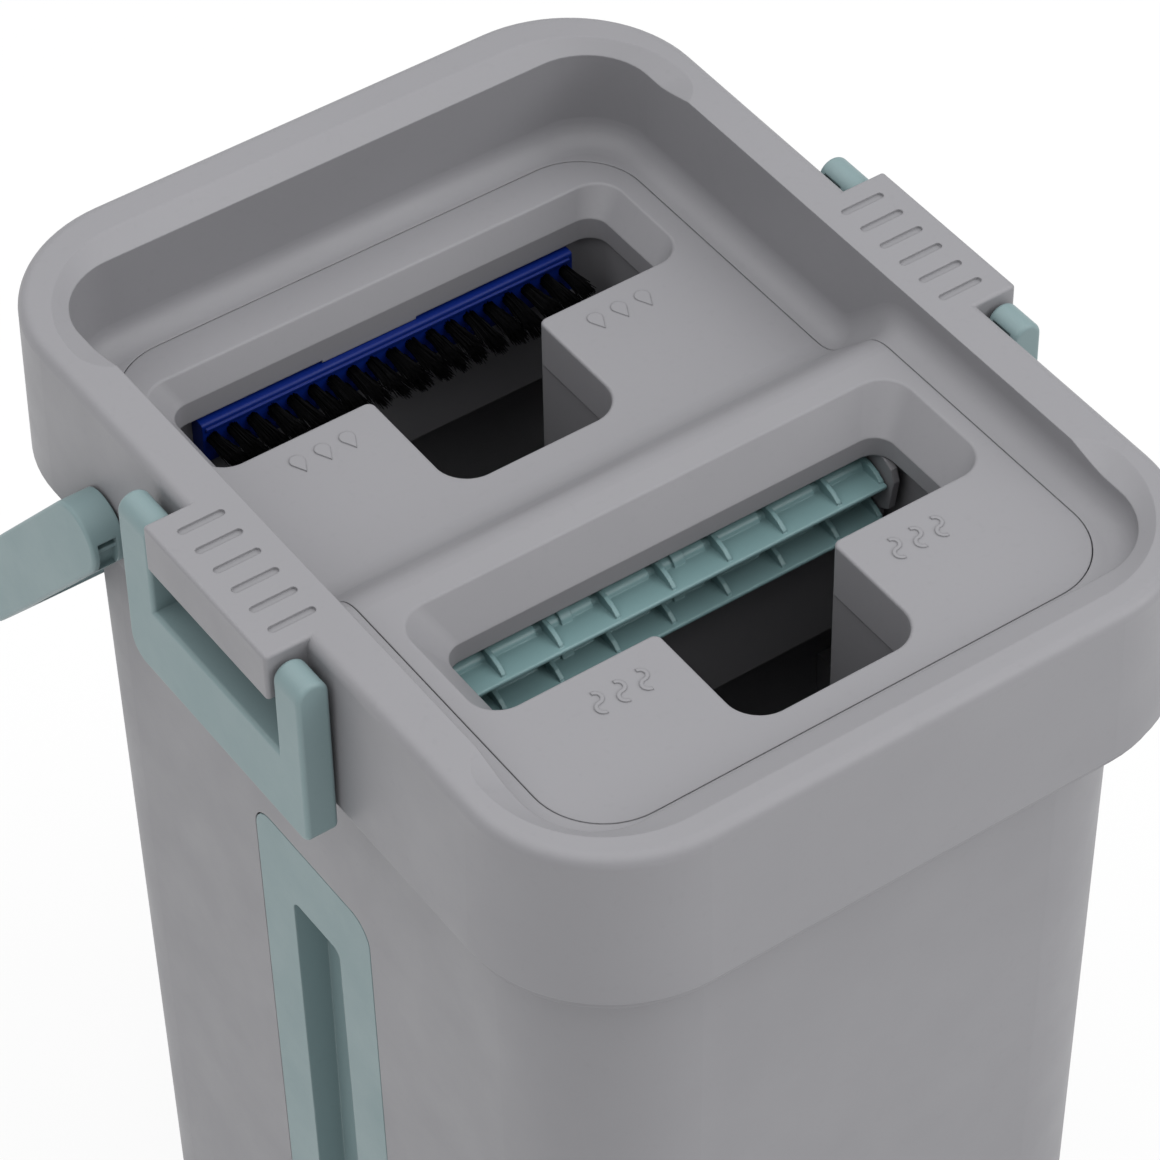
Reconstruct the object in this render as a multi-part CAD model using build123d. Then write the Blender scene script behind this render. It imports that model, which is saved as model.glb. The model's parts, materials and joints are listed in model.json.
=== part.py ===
"""Flat-mop wash-and-dry bucket: a tapered tub, a clipped-on rim collar, and a lift-out wringing insert.

Millimetres, +Z up. The origin is on the floor, under the middle of the rim. The wash slot is on the
-Y side, the dry slot on the +Y side, and the two rim latches are on the -X and +X sides.
"""
from build123d import *
from math import atan, degrees
import os

os.makedirs("parts", exist_ok=True)

# ------------------------------------------------------------------ driving dimensions
HEIGHT = 366.0              # floor to the flat top of the rim

SHELL_Y = -1.5              # middle of the collar's skirt and of the tub, behind the middle of the basin

# tub
TUB_TOP_X = 89.5            # half width just under the collar
TUB_TOP_Y = 123.5           # half length just under the collar
TUB_CORNER = 36.0
TUB_DRAFT = 0.012           # inward lean of the walls, mm per mm of height
TUB_WALL = 2.6
TUB_FLOOR = 4.0             # thickness of the floor plate
FOOT_RECESS = 2.0           # how far the underside is raised inside the foot ring
FOOT_RING = 12.0            # width of the foot ring
FOOT_CORNER = 16.0
FOOT_RIB = 8.0              # half width of the cross rib under the floor
TUB_FOOT_ROUND = 7.0
NECK_ROUND = 5.0

# wall between the two tanks
DIVIDER_TOP = 250.0
DIVIDER_THICK = 2.4
DIVIDER_GAP = 0.2
GUIDE_RISE = 3.0            # height of the guide ribs that hold its edges
GUIDE_THICK = 2.0

# collar
RIM_X = 100.2
RIM_Y = 134.8
RIM_CORNER = 40.0
RIM_ROUND = 3.2             # soft top outer edge
SKIRT_EDGE_ROUND = 0.7
SKIRT_DRAFT = 1.05          # degrees that the skirt spreads downward
SKIRT_DEPTH = 49.0
SKIRT_SPREAD = 0.9          # how far that takes its lower edge out
COLLAR_WALL = 2.8
FLANGE_TOP = HEIGHT - SKIRT_DEPTH - 0.3
FLANGE_THICK = 2.2
FLANGE_INSET = 1.4          # tub flange edge inside the collar's lower outer edge
SPIGOT_INSET = 3.4          # outer face of the short wall that locates the collar, inside the same edge
SPIGOT_RISE = 5.0

# basin inside the collar, and the deck of the insert
BASIN_X = 87.5
BASIN_Y = 118.0
BASIN_CORNER = 20.0
BASIN_FOOT_ROUND = 7.0
WASH_DECK = HEIGHT - 31.2
DRY_DECK = HEIGHT - 11.7
STEP_MIDDLE_Y = 2.7
STEP_ROUND = 12.0
BAND_X = 94.0               # lowered band round the ends of the rim
BAND_Y = 125.5
BAND_CORNER = 34.0
BAND_DROP = 3.0
BAND_FROM_Y = 78.0          # the band starts this far from the middle of each side
BAND_RAMP = 10.0            # length of the ramp at its end
BAND_END_ROUND = 12.0

# insert
TRAY_X = 80.0
TRAY_Y = 111.0
TRAY_CORNER = 20.0
TRAY_GAP = 0.3
TRAY_THICK = 2.6
LAP_WIDTH = 1.6             # thin edge of the wash deck, which lies on a raised part of the ledge
LAP_THICK = 0.7
LAP_END_Y = STEP_MIDDLE_Y + 8.0
LEDGE = 3.0                 # width of the collar's ledge under the tray's edge
LEDGE_THICK = 2.5
LIP_WALL = 2.4
NOTCH_X = 26.0              # half width of the recess for the mop's stem
NOTCH_CORNER = 9.5
NOTCH_MOUTH_ROUND = 2.2
DECK_EDGE_ROUND = 0.8
LIP_TAB = (-9.5, 20.0)      # ends of the deeper part of the wash slot's back lip
LIP_TAB_DEPTH = 0.8
MARK_RAISE = 0.35
CHUTE_WALL = 2.2
POST_R = 3.2
SCREW_R = 1.3
SCREW_HEAD_R = 2.8
EAR_THICK = 3.0             # ears round the top of each chute
SCREW_SPOTS = {
    "wash": [(50.0, -50.0), (45.0, -104.0)],
    "dry": [(52.0, 80.0), (50.0, 15.5)],
}

# latches
LATCH_IN_X = 102.0
LATCH_OUT_X = 111.0
LATCH_AXIS_X = (LATCH_IN_X + LATCH_OUT_X) / 2
LATCH_TOP_R = (LATCH_OUT_X - LATCH_IN_X) / 2
LATCH_PIVOT_Z = HEIGHT - 7.0
LATCH_FROM_Y = -42.0
LATCH_TO_Y = 39.4
LATCH_WINDOW_Y = 28.4
LATCH_BOTTOM = HEIGHT - 55.3
LATCH_WINDOW_BOTTOM = HEIGHT - 31.4
LATCH_EDGE_ROUND = 1.2
LATCH_FAR_CORNER = 7.0
LATCH_NEAR_CORNER = 3.0
HOOK_Y = 24.0               # half width of the hook under the flange
TAB_X = 112.0
TAB_Y = 27.4
TAB_DEPTH = 14.0
TAB_ROUND = 1.0
LATCH_PIN_R = 1.6
RUNNING_GAP = 0.05

# bail
BAIL_PIVOT_Y = -68.0
BAIL_PIVOT_Z = HEIGHT - 37.3
BAIL_IN_X = 101.5
BAIL_OUT_X = 111.0
BAIL_WIDTH = 20.0
BAIL_LENGTH = 106.0
BAIL_HANG = 48.3            # degrees below level, where the grip meets the tub's end wall
BAIL_PIN_R = 4.5
BAIL_BEND = 28.0            # outer radius of its two bends
BAIL_RIBS = (33.0, 51.0, 69.0)  # cross ribs inside each arm, from the pivot
GRIP_X = 52.0
GRIP_Y = 8.5
GRIP_Z = 11.5

# side panels
PANEL_Y = 26.8
PANEL_TOP = HEIGHT - 113.0
PANEL_BOTTOM = 40.0
PANEL_THICK = 2.0
POCKET_Y = 11.0
POCKET_TOP = HEIGHT - 137.0
POCKET_BOTTOM = 64.0
POCKET_FLOOR_X = 79.0
POCKET_WALL = 1.6
POCKET_CORNER = 3.0
BOSS_MARGIN = 5.0           # thickness of tub wall left round each recess
PANEL_CORNER = 8.0
PANEL_GAP = 0.3
BEYOND_X = 100.0            # safely outside the tub's side walls

# scrapers
SCRAPER_ROD_Y = 26.8
SCRAPER_ROD_R = 1.0
SCRAPER_HALF = 65.0
SCRAPER_REACH = 10.4
RIB_PITCH = 17.0
RIB_THICK = 1.3
BARREL_R = 2.3
BARREL_CORE_R = 1.7
BARREL_LENGTH = 14.3        # length of the thick part of the barrel beside each rib
KNUCKLES_X = (28.0, -6.0)
SCRAPER_Z = {"upper": HEIGHT - 36.5, "lower": HEIGHT - 48.5}
BRACKET_X = 65.6
BRACKET_THICK = 2.0
BRACKET_FRONT_Y = 39.0
BRACKET_SCREW_X = 62.5
FOOT_SCREW_R = 1.0
SPRING_WIRE = 0.4
SPRING_R = 1.7
SPRING_TURNS = 2

# brush
BRUSH_HALF = 58.5
BRUSH_FACE_Y = -92.5
BRUSH_TOP = HEIGHT - 46.6
BRUSH_TALL = 13.5
TUFT_PITCH = 6.2
TUFT_LENGTH = 14.0


class Slot:
    """One slot of the insert: where its edges lie, and how deep its parts go."""

    def __init__(self, deck, back, front, end, funnel_back, funnel_end, throat, lip, notch,
                 chute_back, chute_end, chute_round, foot):
        self.deck = deck                    # level of the deck round the slot
        self.back = back                    # y of the opening's back edge
        self.front = front                  # y of the opening's front edge
        self.end = end                      # half length of the opening
        self.funnel_back = funnel_back      # y where the sloped back begins
        self.funnel_end = funnel_end        # half length where the sloped ends begin
        self.throat = throat                # level where the slopes become upright
        self.lip = lip                      # level of the lip's lower edge
        self.notch = notch                  # y of the far wall of the stem recess
        self.chute_back = chute_back        # y of the chute's back wall
        self.chute_end = chute_end          # half length inside the chute
        self.chute_round = chute_round      # radius of the chute's inner corners
        self.foot = foot                    # level of the chute's lower edge


WASH = Slot(deck=WASH_DECK, back=-94.5, front=-61.0, end=67.5, funnel_back=-98.6, funnel_end=73.5,
            throat=HEIGHT - 38.6, lip=HEIGHT - 45.5, notch=-21.3, chute_back=-98.0, chute_end=68.6,
            chute_round=7.0, foot=HEIGHT - 93.0)
DRY = Slot(deck=DRY_DECK, back=31.4, front=64.5, end=66.5, funnel_back=24.0, funnel_end=75.0,
           throat=HEIGHT - 22.5, lip=HEIGHT - 28.5, notch=102.0, chute_back=23.2, chute_end=70.4,
           chute_round=2.4, foot=HEIGHT - 96.0)


# ------------------------------------------------------------------ shared shapes
def plate(half_x, half_y, corner, low, high):
    """Upright prism of a rounded rectangle about the origin."""
    outline = RectangleRounded(2 * half_x, 2 * half_y, corner)
    return Pos(0, 0, low) * extrude(outline, high - low)


def block(x0, x1, y0, y1, z0, z1):
    """Box between two corners."""
    return Pos((x0 + x1) / 2, (y0 + y1) / 2, (z0 + z1) / 2) * Box(abs(x1 - x0), abs(y1 - y0), abs(z1 - z0))


def rod_x(x0, x1, y, z, radius):
    """Cylinder along X."""
    return Pos((x0 + x1) / 2, y, z) * Rot(0, 90, 0) * Cylinder(radius, abs(x1 - x0))


def rod_y(x, y0, y1, z, radius):
    """Cylinder along Y."""
    return Pos(x, (y0 + y1) / 2, z) * Rot(90, 0, 0) * Cylinder(radius, abs(y1 - y0))


def rod_z(x, y, z0, z1, radius):
    """Cylinder along Z."""
    return Pos(x, y, (z0 + z1) / 2) * Cylinder(radius, abs(z1 - z0))


def both_sides(shape):
    """The shape and its mirror image in the plane x = 0."""
    return [shape, mirror(shape, Plane.YZ)]


def try_round(shape, edges, radius):
    """Fillet the edges, or leave them sharp where the radius doesn't fit."""
    try:
        return fillet(edges, radius)
    except Exception:
        print("left sharp:", radius)
        return shape


def tub_half(level):
    """How far the tub's walls have drawn in at a level, below its top size."""
    return TUB_DRAFT * (FLANGE_TOP - level)


def tub_form(inset, low, high):
    """Tapered rounded-rectangle solid that follows the tub's walls, a set distance inside them."""
    shrink = inset + tub_half(high)
    outline = RectangleRounded(2 * (TUB_TOP_X - shrink), 2 * (TUB_TOP_Y - shrink), TUB_CORNER - shrink)
    start = Pos(0, SHELL_Y, high) * outline
    return extrude(start, high - low, dir=(0, 0, -1), taper=degrees(atan(TUB_DRAFT)))


def shell_plate(outset, low, high):
    """Upright prism of the rim's outline, grown by a distance."""
    return Pos(0, SHELL_Y, 0) * plate(RIM_X + outset, RIM_Y + outset, RIM_CORNER + outset, low, high)


def above_deck(half_x, drop, top):
    """Everything above the stepped deck, a set distance under it: wash level, soft step, dry level."""
    rise = DRY_DECK - WASH_DECK
    foot_y = STEP_MIDDLE_Y - rise / 2
    head_y = STEP_MIDDLE_Y + rise / 2
    reach = 160.0
    line = FilletPolyline(
        (0, -reach, WASH_DECK - drop),
        (0, foot_y, WASH_DECK - drop),
        (0, head_y, DRY_DECK - drop),
        (0, reach, DRY_DECK - drop),
        radius=STEP_ROUND,
    )
    cap = Polyline((0, reach, DRY_DECK - drop), (0, reach, top), (0, -reach, top),
                   (0, -reach, WASH_DECK - drop))
    face = make_face(line + cap)
    return extrude(face, half_x, dir=(1, 0, 0), both=True)


def basin(grow, drop, top):
    """Space inside the rim: upright walls, stepped floor, rounded foot. grow and drop give its outer skin."""
    walls = plate(BASIN_X + grow, BASIN_Y + grow, BASIN_CORNER + grow, WASH_DECK - drop - 1, top)
    space = walls & above_deck(BASIN_X + grow + 5, drop, top)
    floor = [face for face in space.faces() if face.normal_at().Z < -0.5]
    seen = {}
    for face in floor:
        for edge in face.edges():
            middle = edge @ 0.5
            key = (round(middle.X, 2), round(middle.Y, 2), round(middle.Z, 2))
            seen.setdefault(key, []).append(edge)
    rim_edges = [found[0] for found in seen.values() if len(found) == 1]
    return try_round(space, rim_edges, BASIN_FOOT_ROUND + grow)


# ------------------------------------------------------------------ tub
def pocket_prism(half_y, top, bottom, corner, x0, x1):
    """Prism along X with a rounded rectangular outline, for the side panels and their pockets."""
    outline = RectangleRounded(2 * half_y, top - bottom, corner)
    turned = Plane(origin=(x0, 0, (top + bottom) / 2), x_dir=(0, 1, 0), z_dir=(1, 0, 0)) * outline
    return extrude(turned, x1 - x0)


def pocket_bosses(grow, x1):
    """The thick places of the tub's side walls, behind the finger recesses."""
    reach = BOSS_MARGIN + grow
    return both_sides(pocket_prism(POCKET_Y + reach, POCKET_TOP + reach, POCKET_BOTTOM - reach, BOSS_MARGIN,
                                   POCKET_FLOOR_X - 1 - reach, x1))


def tub_inside(inset):
    """Space inside the tub's walls, a distance clear of them, down to the floor plate."""
    space = tub_form(TUB_WALL + inset, TUB_FLOOR + FOOT_RECESS, FLANGE_TOP)
    return try_round(space, space.edges().group_by(Axis.Z)[0], TUB_FOOT_ROUND - TUB_WALL)


def divider_guides():
    """Two low ribs round the walls and floor of the tub, one on each side of the divider."""
    ring = tub_form(TUB_WALL - 0.5, TUB_FLOOR, DIVIDER_TOP)
    ring -= tub_form(TUB_WALL + GUIDE_RISE, TUB_FLOOR + FOOT_RECESS + GUIDE_RISE, DIVIDER_TOP + 1)
    near = DIVIDER_THICK / 2 + DIVIDER_GAP
    far = near + GUIDE_THICK
    slabs = block(-TUB_TOP_X, TUB_TOP_X, near, far, 0, DIVIDER_TOP)
    slabs += block(-TUB_TOP_X, TUB_TOP_X, -far, -near, 0, DIVIDER_TOP)
    return ring & slabs


def tank_divider():
    """Plate that stands across the tub between the wash tank and the dry tank."""
    half = DIVIDER_THICK / 2
    divider = tub_inside(DIVIDER_GAP) & block(-TUB_TOP_X, TUB_TOP_X, -half, half, 0, DIVIDER_TOP)
    for boss in pocket_bosses(DIVIDER_GAP, TUB_TOP_X):
        divider -= boss
    return divider


def bucket_tub():
    under_flange = FLANGE_TOP - FLANGE_THICK
    body = tub_form(0, 0, FLANGE_TOP)
    body = try_round(body, body.edges().group_by(Axis.Z)[0], TUB_FOOT_ROUND)
    body += shell_plate(SKIRT_SPREAD - FLANGE_INSET, under_flange, FLANGE_TOP)
    inner_corner = TUB_TOP_X + TUB_TOP_Y - 0.5 * TUB_CORNER
    neck = [edge for edge in body.edges() if abs(edge.center().Z - under_flange) < 0.01
            and abs((edge @ 0.5).X) + abs((edge @ 0.5).Y - SHELL_Y) < inner_corner
            and abs((edge @ 0.5).X) < TUB_TOP_X + 1 and abs((edge @ 0.5).Y - SHELL_Y) < TUB_TOP_Y + 1]
    body = try_round(body, neck, NECK_ROUND)
    spigot_top = FLANGE_TOP + SPIGOT_RISE
    body += shell_plate(SKIRT_SPREAD - SPIGOT_INSET, FLANGE_TOP, spigot_top)
    for boss in pocket_bosses(0, POCKET_FLOOR_X + BOSS_MARGIN):
        body += boss
    inside = tub_inside(0)
    for boss in pocket_bosses(0, TUB_TOP_X):
        inside -= boss
    body -= inside
    body -= shell_plate(SKIRT_SPREAD - SPIGOT_INSET - TUB_WALL, FLANGE_TOP, HEIGHT)
    body += divider_guides()
    ring = tub_half(0) + TUB_WALL + FOOT_RING
    hollow = Pos(0, SHELL_Y, 0) * plate(TUB_TOP_X - ring, TUB_TOP_Y - ring, FOOT_CORNER, -1, FOOT_RECESS)
    cross = block(-TUB_TOP_X, TUB_TOP_X, -FOOT_RIB, FOOT_RIB, -2, 10)
    cross += block(-FOOT_RIB, FOOT_RIB, -TUB_TOP_Y, TUB_TOP_Y, -2, 10)
    body -= hollow - cross
    seat = pocket_prism(PANEL_Y + PANEL_GAP, PANEL_TOP + PANEL_GAP, PANEL_BOTTOM - PANEL_GAP, PANEL_CORNER,
                        POCKET_FLOOR_X, BEYOND_X)
    seat -= tub_form(PANEL_THICK + 0.1, 0, FLANGE_TOP)
    grow = POCKET_WALL + PANEL_GAP
    well = pocket_prism(POCKET_Y + grow, POCKET_TOP + grow, POCKET_BOTTOM - grow, POCKET_CORNER + 1,
                        POCKET_FLOOR_X - grow, BEYOND_X)
    for cut in both_sides(seat) + both_sides(well):
        body -= cut
    return body


def side_panel():
    """Inlay on the +X side, with a long finger recess."""
    skin = tub_form(0, 0, FLANGE_TOP) - tub_form(PANEL_THICK, 0, FLANGE_TOP)
    panel = skin & pocket_prism(PANEL_Y, PANEL_TOP, PANEL_BOTTOM, PANEL_CORNER, POCKET_FLOOR_X, BEYOND_X)
    shell = pocket_prism(POCKET_Y + POCKET_WALL, POCKET_TOP + POCKET_WALL, POCKET_BOTTOM - POCKET_WALL,
                         POCKET_CORNER + 1, POCKET_FLOOR_X - POCKET_WALL, BEYOND_X)
    panel += shell & tub_form(0, 0, FLANGE_TOP)
    mouth = pocket_prism(POCKET_Y, POCKET_TOP, POCKET_BOTTOM, POCKET_CORNER, POCKET_FLOOR_X, BEYOND_X)
    return panel - mouth


# ------------------------------------------------------------------ collar
def band_outline(half_x, end_y, start_y, corner, start_corner):
    """Plan of one end of the lowered band, with its own radius at each end."""
    face = Pos(0, (start_y + end_y) / 2) * Rectangle(2 * half_x, end_y - start_y)
    face = fillet([v for v in face.vertices() if v.Y > end_y - 1], corner)
    return fillet([v for v in face.vertices() if v.Y < start_y + 1], start_corner)


def rim_band(sign):
    """The lowered band round one end of the rim: it slopes to the basin and ramps up at its ends."""
    top = band_outline(BAND_X, BAND_Y, BAND_FROM_Y, BAND_CORNER, BAND_END_ROUND)
    foot = band_outline(BASIN_X - 0.05, BASIN_Y - 0.05, BAND_FROM_Y + BAND_RAMP, BASIN_CORNER, 5.0)
    well = loft([Pos(0, 0, HEIGHT + 0.01) * top, Pos(0, 0, HEIGHT - BAND_DROP) * foot], ruled=True)
    return well if sign > 0 else mirror(well, Plane.XZ)


def tab():
    """Finger tab over the +X latch, grooved on top and hollow underneath."""
    body = block(RIM_X - COLLAR_WALL, TAB_X, -TAB_Y, TAB_Y, HEIGHT - TAB_DEPTH, HEIGHT)
    body += block(RIM_X - RIM_ROUND - 1, RIM_X, -TAB_Y, TAB_Y, HEIGHT - 2.5, HEIGHT)
    outer = body.edges().filter_by(Axis.Z).group_by(Axis.X)[-1]
    body = try_round(body, outer, TAB_ROUND)
    brow = [edge for edge in body.edges() if edge.center().Z > HEIGHT - 0.01 and edge.center().X > RIM_X - 2]
    body = try_round(body, brow, TAB_ROUND)
    body -= block(RIM_X + 1.5, TAB_X - 2.6, -TAB_Y + 9, TAB_Y - 9, HEIGHT - TAB_DEPTH - 1, HEIGHT - 3.2)
    return body


def tab_grooves():
    """Six shallow grip grooves across the +X tab."""
    grooves = []
    for index in range(6):
        y = -20.2 + 8.08 * index
        slot = SlotOverall(13.1, 2.2)
        grooves.append(Pos(99.8, y, HEIGHT - 0.8) * extrude(slot, 2))
    return grooves


def skirt_form(inset, top, bottom):
    """Solid of the collar's outer shape, a distance inside it, spreading downward."""
    outline = RectangleRounded(2 * (RIM_X - inset), 2 * (RIM_Y - inset), RIM_CORNER - inset)
    return extrude(Pos(0, SHELL_Y, top) * outline, top - bottom, dir=(0, 0, -1), taper=-SKIRT_DRAFT)


def top_collar():
    shell = skirt_form(0, HEIGHT, HEIGHT - SKIRT_DEPTH)
    shell = fillet(shell.edges().group_by(Axis.Z)[-1], RIM_ROUND)
    shell = try_round(shell, shell.edges().group_by(Axis.Z)[0], SKIRT_EDGE_ROUND)
    shell -= skirt_form(COLLAR_WALL, HEIGHT - COLLAR_WALL, HEIGHT - SKIRT_DEPTH - 1)
    for side in both_sides(tab()):
        shell += side
    floor_drop = TRAY_THICK + TRAY_GAP + LEDGE_THICK
    skin = basin(COLLAR_WALL, floor_drop, HEIGHT - 1.0)
    band_back = plate(BAND_X + 2, BAND_Y + 2, BAND_CORNER, HEIGHT - BAND_DROP - 3, HEIGHT - 1.0)
    shell += skin + band_back
    shell -= basin(0, 0, HEIGHT + 5)
    for sign in (1, -1):
        shell -= rim_band(sign)
    seat = plate(TRAY_X, TRAY_Y, TRAY_CORNER, WASH_DECK - 20, HEIGHT)
    narrow_seat = plate(TRAY_X - LAP_WIDTH, TRAY_Y - LAP_WIDTH, TRAY_CORNER - LAP_WIDTH,
                        WASH_DECK - 20, HEIGHT)
    lap_zone = block(-TRAY_X, TRAY_X, -TRAY_Y, LAP_END_Y, WASH_DECK - 20, HEIGHT)
    shell -= seat & above_deck(TRAY_X + 5, LAP_THICK + TRAY_GAP, HEIGHT)
    shell -= (narrow_seat + (seat - lap_zone)) & above_deck(TRAY_X + 5, TRAY_THICK + TRAY_GAP, HEIGHT)
    shell -= plate(TRAY_X - LEDGE, TRAY_Y - LEDGE, TRAY_CORNER - LEDGE, WASH_DECK - 20, HEIGHT + 1)
    for groove in tab_grooves():
        for cut in both_sides(groove):
            shell -= cut
    for x in (LATCH_AXIS_X, -LATCH_AXIS_X):
        shell -= rod_y(x, -TAB_Y - 1, -TAB_Y + 7, LATCH_PIVOT_Z, LATCH_PIN_R)
        shell -= rod_y(x, TAB_Y - 7, TAB_Y + 1, LATCH_PIVOT_Z, LATCH_PIN_R)
    for hole in both_sides(rod_x(RIM_X - COLLAR_WALL - 1, RIM_X + 2, BAIL_PIVOT_Y, BAIL_PIVOT_Z, BAIL_PIN_R)):
        shell -= hole
    return shell


# ------------------------------------------------------------------ insert
def slot_outline(slot, grow, corner):
    """Plan of a slot with its stem recess, grown outward by a wall."""
    low = min(slot.back, slot.front) - grow
    high = max(slot.back, slot.front) + grow
    opening = Pos(0, (low + high) / 2) * RectangleRounded(2 * (slot.end + grow), high - low, corner + grow)
    return opening


def notch_outline(slot, grow, start):
    """Plan of the recess that lets the mop's stem stand in the slot."""
    start_y = start
    end_y = slot.notch + grow
    length = end_y - start_y
    middle = (start_y + end_y) / 2
    face = Pos(0, middle) * Rectangle(2 * (NOTCH_X + grow), length)
    far = [v for v in face.vertices() if abs(v.Y - end_y) < 0.01]
    return fillet(far, NOTCH_CORNER + grow)


def funnel(slot, grow, top, drop):
    """Sloped mouth of a slot: its outline at the deck drawn in to the throat."""
    sections = []
    rise = (top - slot.throat) / (slot.deck - slot.throat)
    for level, share, corner in ((slot.throat - drop, 0.0, 6.0), (top - drop, rise, 10.0)):
        back = slot.back + (slot.funnel_back - slot.back) * share - grow
        end = slot.end + (slot.funnel_end - slot.end) * share + grow
        front = slot.front + grow
        outline = Pos(0, (back + front) / 2) * RectangleRounded(2 * end, front - back, corner + grow)
        sections.append(Pos(0, 0, level) * outline)
    return loft(sections, ruled=True)


def slot_space(slot):
    """Everything that is open in the tray for one slot."""
    depth = 60.0
    outline = slot_outline(slot, 0, 6.0) + notch_outline(slot, 0, slot.front - 8)
    mouth = [v for v in outline.vertices() if abs(v.Y - slot.front) < 0.01 and abs(abs(v.X) - NOTCH_X) < 0.01]
    outline = fillet(mouth, NOTCH_MOUTH_ROUND)
    return funnel(slot, 0, slot.deck + 6, 0) + Pos(0, 0, slot.lip - 5) * extrude(outline, depth)


def slot_lip(slot):
    """The skirt of the tray round one slot."""
    lip = funnel(slot, LIP_WALL, slot.deck, LIP_WALL / 2)
    lip += Pos(0, 0, slot.lip) * extrude(slot_outline(slot, LIP_WALL, 6.0), slot.throat - slot.lip)
    notch = notch_outline(slot, LIP_WALL, slot.front - 8)
    lip += Pos(0, 0, slot.lip) * extrude(notch, slot.deck - slot.lip - 1)
    return lip


def drop_mark(x, y, level):
    """A raised water drop."""
    radius = 2.1
    tip = Pos(x, y - 0.9) * Circle(radius) + Pos(x, y - 0.9) * make_face(
        Polyline((-1.9, 0.9), (0, 4.6), (1.9, 0.9), (-1.9, 0.9)))
    return Pos(0, 0, level - 0.3) * extrude(tip, 0.3 + MARK_RAISE)


def wave_mark(x, y, level):
    """A raised rising-air wave: two half rings, one above the other."""
    ring = Circle(2.2) - Circle(1.2)
    upper = ring & Pos(2.5, 0) * Rectangle(5, 6)
    lower = ring & Pos(-2.5, 0) * Rectangle(5, 6)
    mark = Pos(x, y + 1.7) * upper + Pos(x, y - 1.7) * lower
    return Pos(0, 0, level - 0.3) * extrude(mark, 0.3 + MARK_RAISE)


def screw_spots(name):
    """Both mirror images of a chute's screw places."""
    spots = []
    for x, y in SCREW_SPOTS[name]:
        spots += [(x, y), (-x, y)]
    return spots


def mouth_edges(tray, slot):
    """The level edges where a slot opens in the deck."""
    found = []
    for edge in tray.edges():
        box = edge.bounding_box()
        level = abs(box.min.Z - slot.deck) < 0.01 and abs(box.max.Z - slot.deck) < 0.01
        middle = edge.center()
        if level and slot.funnel_back - 1 < middle.Y < slot.notch + 1 and abs(middle.X) < slot.funnel_end + 1:
            found.append(edge)
    return found


def inner_tray():
    edge_x = TRAY_X - TRAY_GAP
    edge_y = TRAY_Y - TRAY_GAP
    slab = plate(edge_x, edge_y, TRAY_CORNER - TRAY_GAP, WASH_DECK - 15, HEIGHT)
    lap_zone = block(-TRAY_X, TRAY_X, -TRAY_Y, LAP_END_Y + TRAY_GAP, WASH_DECK - 20, HEIGHT)
    core = plate(edge_x - LAP_WIDTH, edge_y - LAP_WIDTH, TRAY_CORNER - TRAY_GAP - LAP_WIDTH,
                 WASH_DECK - 15, HEIGHT)
    over_deck = above_deck(edge_x + 5, 0, HEIGHT + 6)
    thick = (core + (slab - lap_zone)) & (above_deck(edge_x + 5, TRAY_THICK, HEIGHT + 5) - over_deck)
    tray = thick + (slab & (above_deck(edge_x + 5, LAP_THICK, HEIGHT + 5) - over_deck))
    posts = []
    for name, slot in (("wash", WASH), ("dry", DRY)):
        tray += slot_lip(slot) - over_deck
        for x, y in screw_spots(name):
            top = slot.deck - 1.0 if y > 20 or y < 0 else slot.deck - 3.5
            posts.append(rod_z(x, y, slot.lip, top, POST_R))
    for post in posts:
        tray += post
    for slot in (WASH, DRY):
        tray -= slot_space(slot)
        tray = try_round(tray, mouth_edges(tray, slot), DECK_EDGE_ROUND)
    tray += block(LIP_TAB[0], LIP_TAB[1], WASH.back - LIP_WALL, WASH.back,
                  WASH.lip - LIP_TAB_DEPTH, WASH.lip + 1)
    for name, slot in (("wash", WASH), ("dry", DRY)):
        for x, y in screw_spots(name):
            tray -= rod_z(x, y, slot.lip - 1, slot.lip + 8, SCREW_R)
    for side in (1, -1):
        for step in (-1, 0, 1):
            tray += drop_mark(side * 46 + step * 7.5, -52.0, WASH_DECK)
            tray += wave_mark(side * 44 + step * 6.5, 75.5, DRY_DECK)
    return tray


def chute(name, slot):
    """Sleeve under a slot that guides the mop head, with screw ears round its top edge."""
    grow = 0.6
    low = min(slot.chute_back, slot.front)
    high = slot.front + grow
    outline = Pos(0, (low + high) / 2) * RectangleRounded(2 * slot.chute_end, high - low, slot.chute_round)
    outline += notch_outline(slot, grow, slot.front - 8)
    shell = offset(outline, CHUTE_WALL)
    body = Pos(0, 0, slot.foot) * extrude(shell, slot.lip - slot.foot)
    for x, y in screw_spots(name):
        toward = slot.front if abs(y - slot.front) < abs(y - slot.back) else slot.chute_back
        reach = (toward - y) * 0.9
        near, far = min(y - 4, y + reach), max(y + 4, y + reach)
        body += block(x - 5, x + 5, near, far, slot.lip - EAR_THICK, slot.lip)
    body -= Pos(0, 0, slot.foot - 1) * extrude(outline, slot.lip - slot.foot + 2)
    for x, y in screw_spots(name):
        body -= rod_z(x, y, slot.lip - EAR_THICK - 1, slot.lip + 1, SCREW_R)
    if name == "dry":
        for x, z in foot_spots():
            body -= rod_y(x, slot.chute_back - 5, slot.chute_back + 1, z, FOOT_SCREW_R)
    return body


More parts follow.
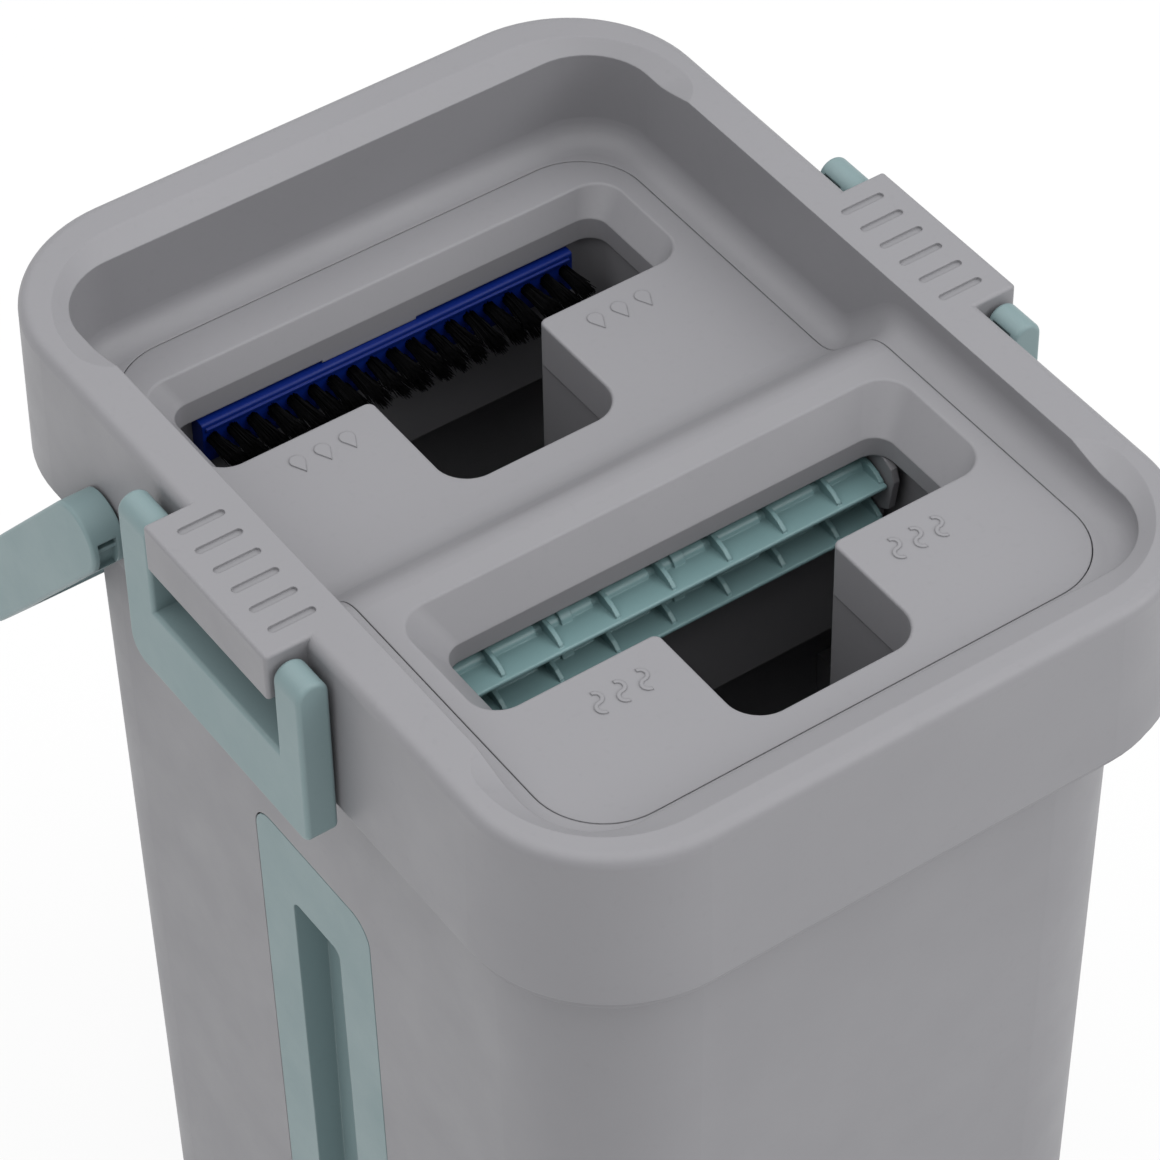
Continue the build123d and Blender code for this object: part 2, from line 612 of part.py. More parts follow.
def chute_screws():
    """Self-tapping screws that hold the chutes to the tray."""
    screws = []
    for name, slot in (("wash", WASH), ("dry", DRY)):
        for x, y in screw_spots(name):
            under = slot.lip - EAR_THICK
            screw = rod_z(x, y, under - 1.8, under, SCREW_HEAD_R) + rod_z(x, y, under, slot.lip + 7, SCREW_R)
            screw -= block(x - 2, x + 2, y - 0.35, y + 0.35, under - 3, under - 1.0)
            screws.append(screw)
    return Compound(children=screws)


# ------------------------------------------------------------------ wash brush
def brush_holder():
    low = BRUSH_TOP - BRUSH_TALL
    bar = block(-BRUSH_HALF, BRUSH_HALF, WASH.chute_back, BRUSH_FACE_Y, low, BRUSH_TOP)
    bar = try_round(bar, bar.edges().filter_by(Axis.X), 0.8)
    ridge_half = BRUSH_HALF - 1
    ridge = block(-ridge_half, ridge_half, BRUSH_FACE_Y - 1, BRUSH_FACE_Y + 0.6,
                  BRUSH_TOP - 2.3, BRUSH_TOP - 1.5)
    return bar + ridge


def tuft_rows():
    """Places of the tufts: two staggered rows on the holder's face."""
    upper = [(-55.8 + TUFT_PITCH * i, BRUSH_TOP - 4.9) for i in range(19)]
    lower = [(-52.7 + TUFT_PITCH * i, BRUSH_TOP - 9.2) for i in range(18)]
    return upper + lower


def bristle_tufts():
    tufts = []
    for x, z in tuft_rows():
        tuft = Cone(2.0, 2.4, TUFT_LENGTH)
        tufts.append(Pos(x, BRUSH_FACE_Y + TUFT_LENGTH / 2, z) * Rot(-90, 0, 0) * tuft)
    return Compound(children=tufts)


# ------------------------------------------------------------------ dry scrapers
def scraper(level):
    """Ribbed scraping blade, pressed on a rod that turns in the two cheeks."""
    y = SCRAPER_ROD_Y
    blade = block(-SCRAPER_HALF, SCRAPER_HALF, y, y + SCRAPER_REACH, level - 0.9, level + 0.5)
    blade = try_round(blade, blade.edges().filter_by(Axis.X).group_by(Axis.Y)[-1], 0.55)
    body = rod_x(-SCRAPER_HALF, SCRAPER_HALF, y, level, BARREL_CORE_R) + blade
    for x in KNUCKLES_X:
        body += rod_x(x - 1.7, x + 1.7, y, level, BARREL_R + 0.8)
    end = SCRAPER_HALF - RIB_THICK / 2
    rib_places = [-end] + [RIB_PITCH * i for i in range(-3, 4)] + [end]
    side_view = Polyline((y, level), (y - 0.4, level + 2.6), (y + 1.2, level + 3.6), (y + 3.6, level + 3.5),
                         (y + 6.6, level + 2.6), (y + 8.9, level + 1.1), (y + 9.3, level), (y, level))
    for x in rib_places:
        start = Plane(origin=(x - RIB_THICK / 2, 0, 0), x_dir=(0, 1, 0), z_dir=(1, 0, 0))
        body += extrude(start * make_face(side_view), RIB_THICK)
    for x in rib_places[1:]:
        body += rod_x(max(x - BARREL_LENGTH, -SCRAPER_HALF), x, y, level, BARREL_R)
    body -= rod_x(-SCRAPER_HALF - 1, SCRAPER_HALF + 1, y, level, SCRAPER_ROD_R)
    return body


def scraper_rod(level):
    reach = DRY.chute_end - 0.4
    return rod_x(-reach, reach, SCRAPER_ROD_Y, level, SCRAPER_ROD_R)


def scraper_springs(level):
    """Torsion springs round the ends of a rod, outside the cheeks, drawn as rings."""
    coils = []
    pitch = 2 * SPRING_WIRE + 0.1
    first = BRACKET_X + BRACKET_THICK + 0.35 + SPRING_WIRE
    for side in (1, -1):
        for turn in range(SPRING_TURNS):
            x = side * (first + turn * pitch)
            coils.append(Pos(x, SCRAPER_ROD_Y, level) * Rot(0, 90, 0) * Torus(SPRING_R, SPRING_WIRE))
    return Compound(children=coils)


def scraper_bracket():
    """Cheek at the +X end of the dry chute that carries both rods, with feet screwed to the chute's back."""
    low = SCRAPER_Z["lower"] - 9.0
    high = DRY.lip - 0.4
    back = DRY.chute_back
    front = BRACKET_FRONT_Y
    side_view = Polyline((back, low), (back, high - 3.0), (back + 3.0, high), (front - 4.5, high),
                         (front - 1.2, high - 1.8), (front, high - 5.5), (front - 1.6, low + 13.0),
                         (front - 5.5, low + 10.5), (front - 6.5, low + 3.0), (front - 9.0, low), (back, low))
    outline = Plane(origin=(BRACKET_X, 0, 0), x_dir=(0, 1, 0), z_dir=(1, 0, 0)) * make_face(side_view)
    cheek = extrude(outline, BRACKET_THICK)
    for x, z in foot_spots()[:2]:
        cheek += block(x - 3, BRACKET_X, back, back + 2.2, z - 2.6, z + 2.6)
        cheek -= rod_y(x, back - 1, back + 4, z, FOOT_SCREW_R)
    for z in SCRAPER_Z.values():
        cheek -= rod_x(BRACKET_X - 1, BRACKET_X + 4, SCRAPER_ROD_Y, z, SCRAPER_ROD_R + RUNNING_GAP)
    return cheek


def foot_spots():
    """Places of the small screws that hold the cheeks to the dry chute's back wall, +X side first."""
    return [(side * BRACKET_SCREW_X, z - 6.0) for side in (1, -1) for z in SCRAPER_Z.values()]


def bracket_screws():
    """Small screws put in from behind the dry chute."""
    screws = []
    behind = DRY.chute_back - CHUTE_WALL
    for x, z in foot_spots():
        head = rod_y(x, behind - 1.2, behind, z, 2 * FOOT_SCREW_R)
        screws.append(head + rod_y(x, behind, DRY.chute_back + 2.0, z, FOOT_SCREW_R))
    return Compound(children=screws)


# ------------------------------------------------------------------ latches and bail
def latch():
    """U-shaped clip on the +X side: two arms on the tab's pins, a cross bar that hooks under the flange."""
    bar = block(LATCH_IN_X, LATCH_OUT_X, LATCH_FROM_Y, LATCH_TO_Y, LATCH_BOTTOM, LATCH_PIVOT_Z)
    lower = bar.edges().filter_by(Axis.X).group_by(Axis.Z)[0].sort_by(Axis.Y)
    bar = fillet(lower[0], LATCH_FAR_CORNER)
    lower = bar.edges().filter_by(Axis.X).group_by(Axis.Z)[0].sort_by(Axis.Y)
    bar = fillet(lower[-1], LATCH_NEAR_CORNER)
    bar += rod_y(LATCH_AXIS_X, LATCH_FROM_Y, LATCH_TO_Y, LATCH_PIVOT_Z, LATCH_TOP_R)
    bar -= block(LATCH_IN_X - 5, LATCH_OUT_X + 5, -LATCH_WINDOW_Y, LATCH_WINDOW_Y,
                 LATCH_WINDOW_BOTTOM, HEIGHT + 9)
    outer = [edge for edge in bar.edges() if edge.center().X > LATCH_OUT_X - 0.6
             and edge.center().Z < LATCH_PIVOT_Z - 1]
    bar = try_round(bar, outer, LATCH_EDGE_ROUND)
    for sign, end in ((1, LATCH_TO_Y), (-1, -LATCH_FROM_Y)):
        inner_y = LATCH_WINDOW_Y - 1
        bar -= rod_y(LATCH_AXIS_X, sign * inner_y, sign * (end - 5), LATCH_PIVOT_Z, LATCH_PIN_R + RUNNING_GAP)
        bar -= block(LATCH_IN_X - 1, LATCH_IN_X + 2.2, sign * (end - 2.2), sign * (end - 9),
                     LATCH_PIVOT_Z - 0.6, LATCH_PIVOT_Z + 2.2)
    hook_top = FLANGE_TOP - FLANGE_THICK - 0.4
    hook_in = RIM_X + SKIRT_SPREAD - FLANGE_INSET - 2.2
    bar += block(hook_in, LATCH_IN_X + 1, -HOOK_Y, HOOK_Y, LATCH_BOTTOM, hook_top)
    return bar


def latch_pins():
    """Four short pivot pins, pressed into the ends of the two tabs."""
    pins = []
    for x in (LATCH_AXIS_X, -LATCH_AXIS_X):
        for sign, end in ((1, LATCH_TO_Y), (-1, -LATCH_FROM_Y)):
            pins.append(rod_y(x, sign * (TAB_Y - 7), sign * (end - 5.5), LATCH_PIVOT_Z, LATCH_PIN_R))
    return Compound(children=pins)


def bail_pivot():
    """Stud on the +X side, pressed through the collar's skirt, with a head behind it."""
    inner = RIM_X - COLLAR_WALL
    stud = rod_x(inner - 0.5, BAIL_OUT_X - 3, BAIL_PIVOT_Y, BAIL_PIVOT_Z, BAIL_PIN_R)
    return stud + rod_x(inner - 2.0, inner - 0.5, BAIL_PIVOT_Y, BAIL_PIVOT_Z, BAIL_PIN_R + 1.5)


def bail_handle():
    """Bail drawn flat, arms along -Y, then swung down to where it hangs."""
    hub_r = BAIL_WIDTH / 2
    bend = BAIL_BEND
    thick = BAIL_OUT_X - BAIL_IN_X
    outer = Pos(0, -BAIL_LENGTH / 2) * Rectangle(2 * BAIL_OUT_X, BAIL_LENGTH + 12)
    outer = fillet([v for v in outer.vertices() if v.Y < -BAIL_LENGTH / 2], bend)
    inner = Pos(0, -BAIL_LENGTH / 2 + 12) * Rectangle(2 * BAIL_IN_X, BAIL_LENGTH + 12)
    inner = fillet([v for v in inner.vertices() if v.Y < -BAIL_LENGTH / 2], bend - thick)
    strap = Pos(0, 0, -hub_r) * extrude(outer - inner, BAIL_WIDTH)
    strap -= block(-120, 120, 0, 20, -20, 20)
    for hub in both_sides(rod_x(BAIL_IN_X, BAIL_OUT_X, 0, 0, hub_r)):
        strap += hub
    grip = block(-GRIP_X, GRIP_X, -BAIL_LENGTH - GRIP_Y, -BAIL_LENGTH + GRIP_Y, -GRIP_Z, GRIP_Z)
    grip = fillet(grip.edges().filter_by(Axis.X), 6.0)
    grip = try_round(grip, grip.edges().group_by(Axis.X)[0] + grip.edges().group_by(Axis.X)[-1], 3.0)
    edges = [edge for edge in strap.edges() if abs(edge.center().X) > BAIL_OUT_X - 0.01]
    strap = try_round(strap, edges, 1.0)
    strap += grip
    for side in (1, -1):
        core = block(side * (BAIL_IN_X - 1), side * (BAIL_OUT_X - 2.2), -BAIL_LENGTH + bend, -15,
                     -hub_r + 2, hub_r - 2)
        for y in BAIL_RIBS:
            core -= block(side * (BAIL_IN_X - 5), side * (BAIL_OUT_X + 5), -y - 0.8, -y + 0.8, -hub_r, hub_r)
        strap -= core
        strap -= rod_x(side * (BAIL_IN_X - 1), side * (BAIL_OUT_X - 2.7), 0, 0, BAIL_PIN_R + RUNNING_GAP)
    handle = Pos(0, BAIL_PIVOT_Y, BAIL_PIVOT_Z) * Rot(BAIL_HANG, 0, 0) * strap
    for side in (1, -1):
        window = block(side * (BAIL_IN_X + 2.1), side * (BAIL_OUT_X - 2), BAIL_PIVOT_Y + 6, BAIL_PIVOT_Y + 14,
                       BAIL_PIVOT_Z - 6.5, BAIL_PIVOT_Z + 3.5)
        rib = block(side * (BAIL_IN_X - 1), side * BAIL_OUT_X, BAIL_PIVOT_Y, BAIL_PIVOT_Y + 8.4,
                    BAIL_PIVOT_Z - 0.2, BAIL_PIVOT_Z + 1.0)
        handle -= window - rib
    return handle


# ------------------------------------------------------------------ write every piece
def save(name, shape):
    """Write one node's STEP file."""
    export_step(shape, "parts/" + name + ".step")
    print(name, "solids", len(shape.solids()), "volume", round(shape.volume))


def main():
    right_panel = side_panel()
    right_latch = latch()
    right_bracket = scraper_bracket()
    right_pivot = bail_pivot()
    save("bucket_tub", bucket_tub())
    save("tank_divider", tank_divider())
    save("top_collar", top_collar())
    save("inner_tray", inner_tray())
    save("wash_chute", chute("wash", WASH))
    save("dry_chute", chute("dry", DRY))
    save("chute_screws", chute_screws())
    save("bracket_screws", bracket_screws())
    save("brush_holder", brush_holder())
    save("bristle_tufts", bristle_tufts())
    for name, level in SCRAPER_Z.items():
        save(name + "_scraper", scraper(level))
        save(name + "_scraper_rod", scraper_rod(level))
        save(name + "_scraper_springs", scraper_springs(level))
    save("bail_handle", bail_handle())
    save("latch_pins", latch_pins())
    for name, shape in (("side_panel", right_panel), ("latch", right_latch),
                        ("scraper_bracket", right_bracket), ("bail_pivot", right_pivot)):
        save(name + "_right", shape)
        save(name + "_left", mirror(shape, Plane.YZ))


main()
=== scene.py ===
"""Looks of the flat-mop wash-and-dry bucket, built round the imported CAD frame. Metres, +Z up."""
import json
import math
import random

import bpy
from mathutils import Matrix, Vector


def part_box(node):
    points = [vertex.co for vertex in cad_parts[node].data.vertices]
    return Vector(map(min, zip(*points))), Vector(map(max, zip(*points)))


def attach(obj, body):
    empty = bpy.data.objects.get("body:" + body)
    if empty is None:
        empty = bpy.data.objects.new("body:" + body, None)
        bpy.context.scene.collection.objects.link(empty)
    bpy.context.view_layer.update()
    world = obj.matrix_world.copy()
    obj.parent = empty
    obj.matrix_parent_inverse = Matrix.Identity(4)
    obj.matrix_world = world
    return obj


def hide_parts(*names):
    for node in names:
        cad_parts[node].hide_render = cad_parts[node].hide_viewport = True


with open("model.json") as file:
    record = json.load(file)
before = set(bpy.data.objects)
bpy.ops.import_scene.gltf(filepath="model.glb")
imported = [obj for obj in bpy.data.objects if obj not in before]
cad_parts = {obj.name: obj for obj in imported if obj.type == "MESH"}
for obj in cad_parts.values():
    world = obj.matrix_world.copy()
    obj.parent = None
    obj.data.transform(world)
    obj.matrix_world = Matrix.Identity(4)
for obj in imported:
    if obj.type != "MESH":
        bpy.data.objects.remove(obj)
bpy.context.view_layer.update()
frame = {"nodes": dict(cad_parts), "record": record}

# ------------------------------------------------------------------ camera
AZIMUTH = math.radians(145.72)
ELEVATION = math.radians(45.08)
ROLL = math.radians(-1.054)
DISTANCE = 1.1714
AIM = Vector((0.02172, 0.02623, 0.33821))      # point on the lens axis, at that distance
LENS_MM = 148.4
SENSOR_MM = 36.0


def make_camera():
    """Camera on the +X +Y side, looking down across the rim at the wash slot."""
    level_x, level_y = math.cos(AZIMUTH), math.sin(AZIMUTH)
    right = Vector((level_x, level_y, 0.0))
    up = Vector((-level_y * math.sin(ELEVATION), level_x * math.sin(ELEVATION), math.cos(ELEVATION)))
    back = right.cross(up)
    across = math.cos(ROLL) * right + math.sin(ROLL) * up
    over = -math.sin(ROLL) * right + math.cos(ROLL) * up
    turn = Matrix((across, over, back)).transposed().to_4x4()
    data = bpy.data.cameras.new("camera")
    data.lens = LENS_MM
    data.sensor_width = SENSOR_MM
    data.clip_start = 0.05
    data.clip_end = 20.0
    camera = bpy.data.objects.new("camera", data)
    bpy.context.scene.collection.objects.link(camera)
    camera.matrix_world = Matrix.Translation(AIM + DISTANCE * back) @ turn
    bpy.context.scene.camera = camera


# ------------------------------------------------------------------ studio
LIT_POINT = Vector((0.0, 0.0, 0.3))            # what every light faces
SKY_STRENGTH = 0.56
FLOOR_HALF = 6.0
FLOOR_TONE = 0.12
FLOOR_GLOW = 0.86                              # even glow that keeps the floor white


def area_light(name, place, size, watts):
    """Square soft light at a place, facing the lit point."""
    data = bpy.data.lights.new(name, "AREA")
    data.shape = "RECTANGLE"
    data.size = size
    data.size_y = size
    data.energy = watts
    light = bpy.data.objects.new(name, data)
    bpy.context.scene.collection.objects.link(light)
    light.location = place
    light.rotation_euler = (LIT_POINT - Vector(place)).to_track_quat("-Z", "Y").to_euler()


def make_studio():
    """Even pale sky, an overhead light, a softbox to the camera's right, and a plain pale floor."""
    scene = bpy.context.scene
    scene.view_settings.view_transform = "Standard"
    scene.view_settings.look = "None"
    world = bpy.data.worlds.new("studio")
    world.use_nodes = True
    sky = world.node_tree.nodes["Background"]
    sky.inputs["Color"].default_value = (1.0, 1.0, 1.0, 1.0)
    sky.inputs["Strength"].default_value = SKY_STRENGTH
    scene.world = world
    area_light("overhead", (0.2, -0.1, 1.9), 3.0, 36.0)
    area_light("right_softbox", (-1.21, 1.43, 1.47), 1.4, 19.0)

    mesh = bpy.data.meshes.new("floor")
    half = FLOOR_HALF
    corners = [(-half, -half, 0), (half, -half, 0), (half, half, 0), (-half, half, 0)]
    mesh.from_pydata(corners, [], [(0, 1, 2, 3)])
    floor = bpy.data.objects.new("floor", mesh)
    scene.collection.objects.link(floor)
    pale = bpy.data.materials.new("pale_floor")
    pale.use_nodes = True
    shader = pale.node_tree.nodes["Principled BSDF"]
    shader.inputs["Base Color"].default_value = (FLOOR_TONE, FLOOR_TONE, FLOOR_TONE, 1.0)
    shader.inputs["Roughness"].default_value = 1.0
    shader.inputs["Specular IOR Level"].default_value = 0.0
    shader.inputs["Emission Color"].default_value = (1.0, 1.0, 1.0, 1.0)
    shader.inputs["Emission Strength"].default_value = FLOOR_GLOW
    mesh.materials.append(pale)


# ------------------------------------------------------------------ materials
class Graph:
    """Short names for building a shader's nodes."""

    def __init__(self, name):
        self.material = bpy.data.materials.new(name)
        self.material.use_nodes = True
        self.tree = self.material.node_tree
        self.shader = self.tree.nodes["Principled BSDF"]
        self.place = self.node("ShaderNodeTexCoord").outputs["Object"]

    def node(self, kind, **settings):
        made = self.tree.nodes.new(kind)
        for key, value in settings.items():
            setattr(made, key, value)
        return made

    def link(self, source, target):
        self.tree.links.new(source, target)

    def noise(self, scale, detail=2.0, roughness=0.5, stretch=None):
        """Noise in the part's own coordinates. stretch scales each axis, for drawn or brushed surfaces."""
        made = self.node("ShaderNodeTexNoise")
        made.inputs["Scale"].default_value = scale
        made.inputs["Detail"].default_value = detail
        made.inputs["Roughness"].default_value = roughness
        place = self.place
        if stretch:
            mapping = self.node("ShaderNodeMapping")
            mapping.inputs["Scale"].default_value = stretch
            self.link(self.place, mapping.inputs["Vector"])
            place = mapping.outputs["Vector"]
        self.link(place, made.inputs["Vector"])
        return made.outputs["Fac"]

    def spread(self, value, low, high, new_low=0.0, new_high=1.0):
        """Maps a range of values to another, clamped."""
        made = self.node("ShaderNodeMapRange")
        self.link(value, made.inputs["Value"])
        limits = (("From Min", low), ("From Max", high), ("To Min", new_low), ("To Max", new_high))
        for key, number in limits:
            made.inputs[key].default_value = number
        return made.outputs["Result"]

    def math(self, operation, first, second=0.0):
        made = self.node("ShaderNodeMath", operation=operation)
        for index, value in enumerate((first, second)):
            if isinstance(value, (int, float)):
                made.inputs[index].default_value = value
            else:
                self.link(value, made.inputs[index])
        return made.outputs["Value"]

    def mix(self, share, first, second):
        """Mixes two colours, each a node's output or three numbers."""
        made = self.node("ShaderNodeMix", data_type="RGBA")
        self.link(share, made.inputs["Factor"])
        for key, value in (("A", first), ("B", second)):
            socket = [s for s in made.inputs if s.name == key and s.type == "RGBA"][0]
            if isinstance(value, tuple):
                socket.default_value = (*value, 1.0)
            else:
                self.link(value, socket)
        return [s for s in made.outputs if s.type == "RGBA"][0]

    def edges(self, radius):
        """1 along convex and concave edges, 0 on flat faces, and the softened normal."""
        soft = self.node("ShaderNodeBevel", samples=6)
        soft.inputs["Radius"].default_value = radius
        plain = self.node("ShaderNodeNewGeometry")
        turned = self.node("ShaderNodeVectorMath", operation="DOT_PRODUCT")
        self.link(soft.outputs["Normal"], turned.inputs[0])
        self.link(plain.outputs["Normal"], turned.inputs[1])
        bent = self.math("SUBTRACT", 1.0, turned.outputs["Value"])
        return self.spread(bent, 0.01, 0.20), soft.outputs["Normal"]

    def bump(self, layers, normal=None):
        """Stacks bump layers, each (height, distance in metres, strength)."""
        for height, distance, strength in layers:
            made = self.node("ShaderNodeBump")
            made.inputs["Distance"].default_value = distance
            made.inputs["Strength"].default_value = strength
            self.link(height, made.inputs["Height"])
            if normal is not None:
                self.link(normal, made.inputs["Normal"])
            normal = made.outputs["Normal"]
        self.link(normal, self.shader.inputs["Normal"])


EDGE_RADIUS = 0.0006            # reach of the wear along moulded edges, in metres
CLOUD_SWING = 0.06              # how far the roughness wanders either way


def shade(colour, factor):
    return tuple(min(1.0, channel * factor) for channel in colour)


def moulded(name, colour, roughness, grain=0.00004, specular=0.4):
    """Injection-moulded plastic: fine spark-eroded grain, faint flow mottling, scuffs, paler worn edges."""
    g = Graph(name)
    flow = g.noise(9.0, 3.0)
    speck = g.noise(420.0, 2.0)
    edge, soft_normal = g.edges(EDGE_RADIUS)
    base = g.mix(g.spread(flow, 0.3, 0.7), shade(colour, 0.975), shade(colour, 1.025))
    base = g.mix(g.spread(speck, 0.60, 0.80, 0.0, 0.5), base, shade(colour, 0.94))
    wear_break = g.noise(130.0, 4.0, 0.6)
    wear = g.math("MULTIPLY", edge, g.spread(wear_break, 0.42, 0.62))
    wear = g.math("MULTIPLY", wear, 0.35)
    base = g.mix(wear, base, shade(colour, 1.16))
    g.link(base, g.shader.inputs["Base Color"])
    cloud = g.noise(38.0, 4.0, 0.6)
    scuff = g.noise(60.0, 6.0, 0.65, stretch=(1.0, 1.0, 6.0))
    rough = g.spread(cloud, 0.3, 0.7, roughness - CLOUD_SWING, roughness + CLOUD_SWING)
    rough = g.math("ADD", rough, g.spread(scuff, 0.62, 0.80, 0.0, 0.08))
    rough = g.math("SUBTRACT", rough, g.math("MULTIPLY", wear, 0.3))
    g.link(rough, g.shader.inputs["Roughness"])
    g.shader.inputs["Specular IOR Level"].default_value = specular
    g.bump([(g.noise(2600.0, 2.0, 0.6), grain, 0.35), (g.noise(26.0, 2.0), 0.0004, 0.10)], soft_normal)
    return g.material


def drawn_steel(name):
    """Bright drawn wire and turned screws."""
    g = Graph(name)
    lines = g.noise(900.0, 3.0, 0.6, stretch=(0.05, 1.0, 1.0))
    tone = g.mix(g.spread(lines, 0.3, 0.7), (0.48, 0.48, 0.49), (0.66, 0.66, 0.67))
    stain = g.noise(180.0, 4.0)
    edge, soft_normal = g.edges(0.0002)
    tone = g.mix(g.spread(stain, 0.62, 0.78, 0.0, 0.6), tone, (0.34, 0.31, 0.28))
    tone = g.mix(g.math("MULTIPLY", edge, 0.5), tone, (0.80, 0.80, 0.80))
    g.link(tone, g.shader.inputs["Base Color"])
    g.shader.inputs["Metallic"].default_value = 1.0
    g.link(g.spread(lines, 0.3, 0.7, 0.24, 0.40), g.shader.inputs["Roughness"])
    g.bump([(lines, 0.00002, 0.4)], soft_normal)
    return g.material


def filament(name):
    """Black nylon bristle: nearly matt, with paler edges and a little dust."""
    g = Graph(name)
    along = g.noise(700.0, 3.0)
    dust = g.noise(90.0, 3.0)
    tone = g.mix(g.spread(along, 0.35, 0.65), (0.0008, 0.0008, 0.0010), (0.003, 0.003, 0.0035))
    tone = g.mix(g.spread(dust, 0.62, 0.80, 0.0, 0.25), tone, (0.010, 0.010, 0.010))
    edge, soft_normal = g.edges(0.00005)
    tone = g.mix(g.math("MULTIPLY", edge, 0.2), tone, (0.010, 0.010, 0.011))
    g.link(tone, g.shader.inputs["Base Color"])
    g.link(g.spread(along, 0.3, 0.7, 0.50, 0.70), g.shader.inputs["Roughness"])
    g.shader.inputs["Specular IOR Level"].default_value = 0.06
    g.bump([(along, 0.00003, 0.4)], soft_normal)
    return g.material


GREY = (0.236, 0.234, 0.248)
TEAL = (0.182, 0.256, 0.266)
MATERIALS = {
    "body_grey": moulded("body_grey", GREY, 0.50),
    "rim_grey": moulded("rim_grey", GREY, 0.47),
    # chute_grey is the body grey darkened to 0.80: painted shade for the dark inside of the tub seen
    # through the slots
    "chute_grey": moulded("chute_grey", shade(GREY, 0.80), 0.44, grain=0.00002),
    "teal": moulded("teal", TEAL, 0.44),
    "scraper_teal": moulded("scraper_teal", (0.177, 0.290, 0.300), 0.36, grain=0.00002),
    "brush_blue": moulded("brush_blue", (0.001, 0.013, 0.14), 0.46, grain=0.00002, specular=0.25),
    "bristle_black": filament("bristle_black"),
    "steel": drawn_steel("steel"),
}


def dress_frame():
    """Gives each CAD node the material of its record slot."""
    for subpart in frame["record"]["subparts"]:
        piece = frame["nodes"][subpart["node"]]
        piece.data.materials.clear()
        piece.data.materials.append(MATERIALS[subpart["material_slot"]])


# ------------------------------------------------------------------ pieces
def add_piece(name, vertices, faces, slot, body):
    """Makes a smooth-shaded piece that rides on a body and has a slot's material."""
    mesh = bpy.data.meshes.new(name)
    mesh.from_pydata(vertices, [], faces)
    mesh.validate()
    for polygon in mesh.polygons:
        polygon.use_smooth = True
    mesh.materials.append(MATERIALS[slot])
    piece = bpy.data.objects.new(name, mesh)
    bpy.context.scene.collection.objects.link(piece)
    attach(piece, body)
    return piece


def tube(path, radii, sides, vertices, faces, first_normal=Vector((0, 0, 1))):
    """Adds a closed tube along a path to a vertex and face list."""
    start = len(vertices)
    normal = first_normal
    for index, point in enumerate(path):
        ahead = path[min(index + 1, len(path) - 1)]
        behind = path[max(index - 1, 0)]
        along = (ahead - behind).normalized()
        normal = (normal - normal.dot(along) * along).normalized()
        side = along.cross(normal)
        for step in range(sides):
            angle = 2 * math.pi * step / sides
            vertices.append(point + radii[index] * (math.cos(angle) * normal + math.sin(angle) * side))
    for ring in range(len(path) - 1):
        for step in range(sides):
            a = start + ring * sides + step
            b = start + ring * sides + (step + 1) % sides
            faces.append((a, b, b + sides, a + sides))
    last = start + (len(path) - 1) * sides
    faces.append(tuple(start + step for step in reversed(range(sides))))
    faces.append(tuple(last + step for step in range(sides)))


MM = 0.001
TUFT_PITCH = 6.2 * MM
TUFT_R = 2.4 * MM
TUFT_ROOT_R = 1.75 * MM             # where the outermost filaments leave the holder
ROWS = ((19, 0.0), (18, 0.5))       # tufts in a row, and its shift in pitches
FILAMENTS = 96
FILAMENT_R = 0.16 * MM
FILAMENT_STEPS = 4
ROOT_DEPTH = 0.3 * MM               # how far a filament starts inside the holder
SPRING_WIRE_R = 0.38 * MM
SPRING_PITCH = 0.9 * MM
TURN_STEPS = 24                     # points in a spring's one turn


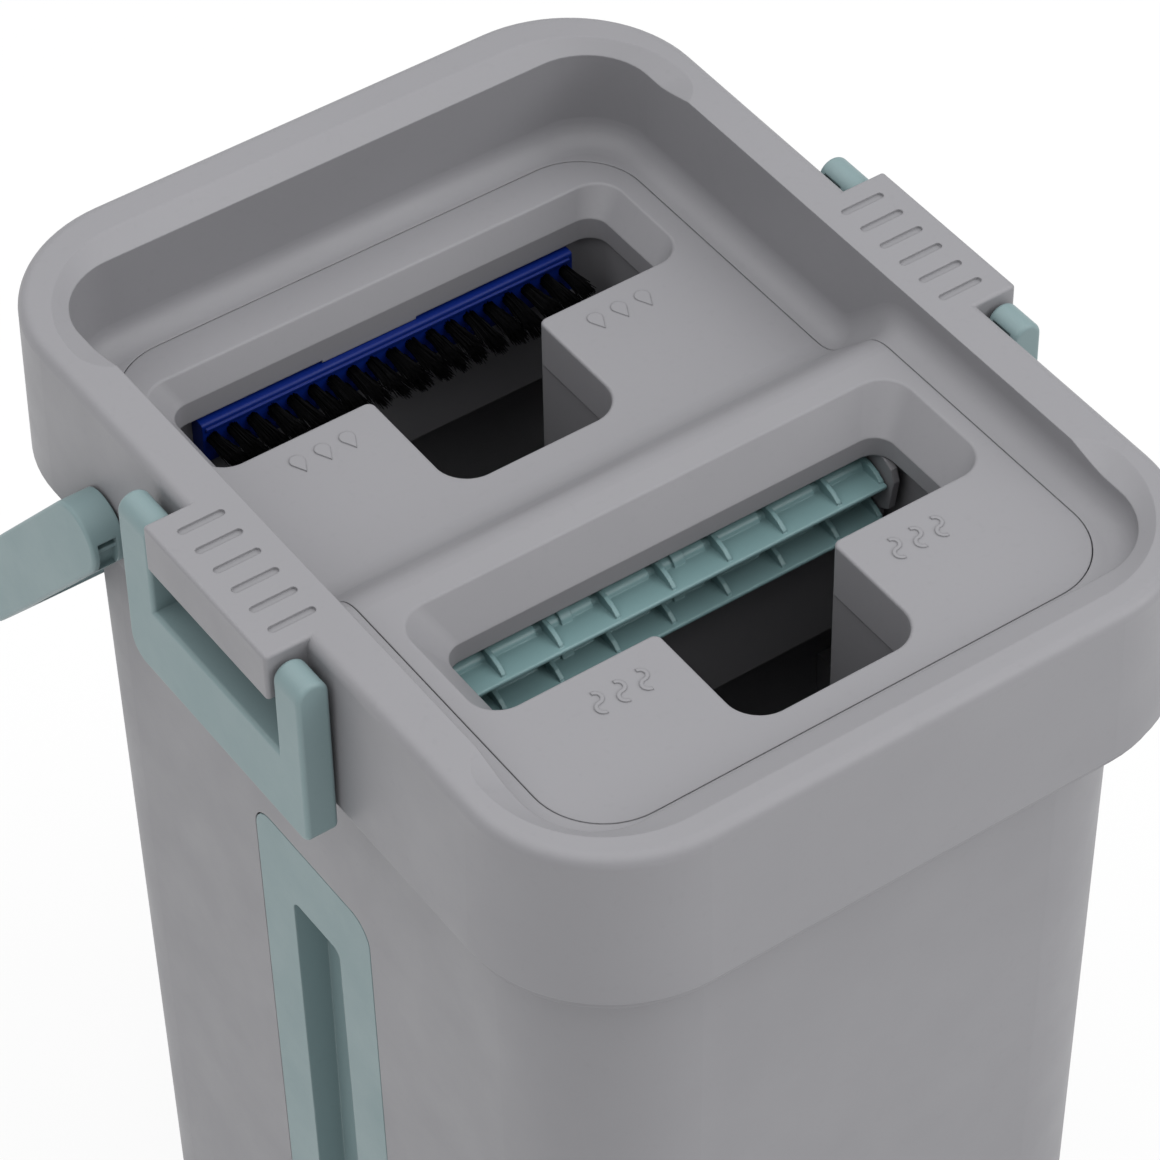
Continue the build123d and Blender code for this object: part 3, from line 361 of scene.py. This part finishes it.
def make_bristles():
    """Two staggered rows of tufts, each a splayed bundle of nylon filaments."""
    low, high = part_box("bristle_tufts")
    draw = random.Random(41)
    vertices, faces = [], []
    length = high.y - low.y
    heights = (high.z - TUFT_R, low.z + TUFT_R)
    for (count, shift), height in zip(ROWS, heights):
        for index in range(count):
            centre_x = low.x + TUFT_R + (index + shift) * TUFT_PITCH
            lean_x = draw.gauss(0, 0.45) * MM
            lean_z = draw.gauss(-0.2, 0.4) * MM
            for _ in range(FILAMENTS):
                angle = draw.uniform(0, 2 * math.pi)
                share = math.sqrt(draw.random())
                outward = Vector((math.cos(angle), 0, math.sin(angle))) * share
                root = outward * TUFT_ROOT_R
                splay = outward * draw.uniform(0.3, 1.6) * MM
                reach = length * (1.0 - 0.10 * share - draw.uniform(0.0, 0.16))
                path = []
                for step in range(FILAMENT_STEPS + 1):
                    part = step / FILAMENT_STEPS
                    bend = part * part
                    spot = Vector((centre_x, low.y - ROOT_DEPTH + reach * part, height)) + root
                    spot += splay * bend + Vector((lean_x, 0, lean_z)) * bend
                    spot.x = min(max(spot.x, low.x + FILAMENT_R), high.x - FILAMENT_R)
                    spot.z = min(max(spot.z, low.z + FILAMENT_R), high.z - FILAMENT_R)
                    path.append(spot)
                radii = [FILAMENT_R] * FILAMENT_STEPS + [FILAMENT_R * 0.6]
                tube(path, radii, 3, vertices, faces)
    piece = add_piece("brush_bristles", vertices, faces, "bristle_black", "wringer_insert")
    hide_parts("bristle_tufts")


def make_springs(which):
    """One-turn torsion springs round the two ends of one scraper's rod."""
    low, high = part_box(which + "_scraper_springs")
    centre = (low + high) / 2
    ring = (high.z - low.z) / 2 - SPRING_WIRE_R
    vertices, faces = [], []
    for side in (1, -1):
        outer = high.x if side > 0 else low.x
        path = []
        for step in range(TURN_STEPS + 1):
            angle = 2 * math.pi * step / TURN_STEPS
            x = outer - side * (SPRING_WIRE_R + SPRING_PITCH * step / TURN_STEPS)
            path.append(Vector((x, centre.y + ring * math.cos(angle), centre.z + ring * math.sin(angle))))
        tube(path, [SPRING_WIRE_R] * len(path), 8, vertices, faces, Vector((1, 0, 0)))
    piece = add_piece(which + "_scraper_coils", vertices, faces, "steel", "wringer_insert")
    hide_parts(which + "_scraper_springs")


make_camera()
make_studio()
dress_frame()
make_bristles()
for which in ("upper", "lower"):
    make_springs(which)
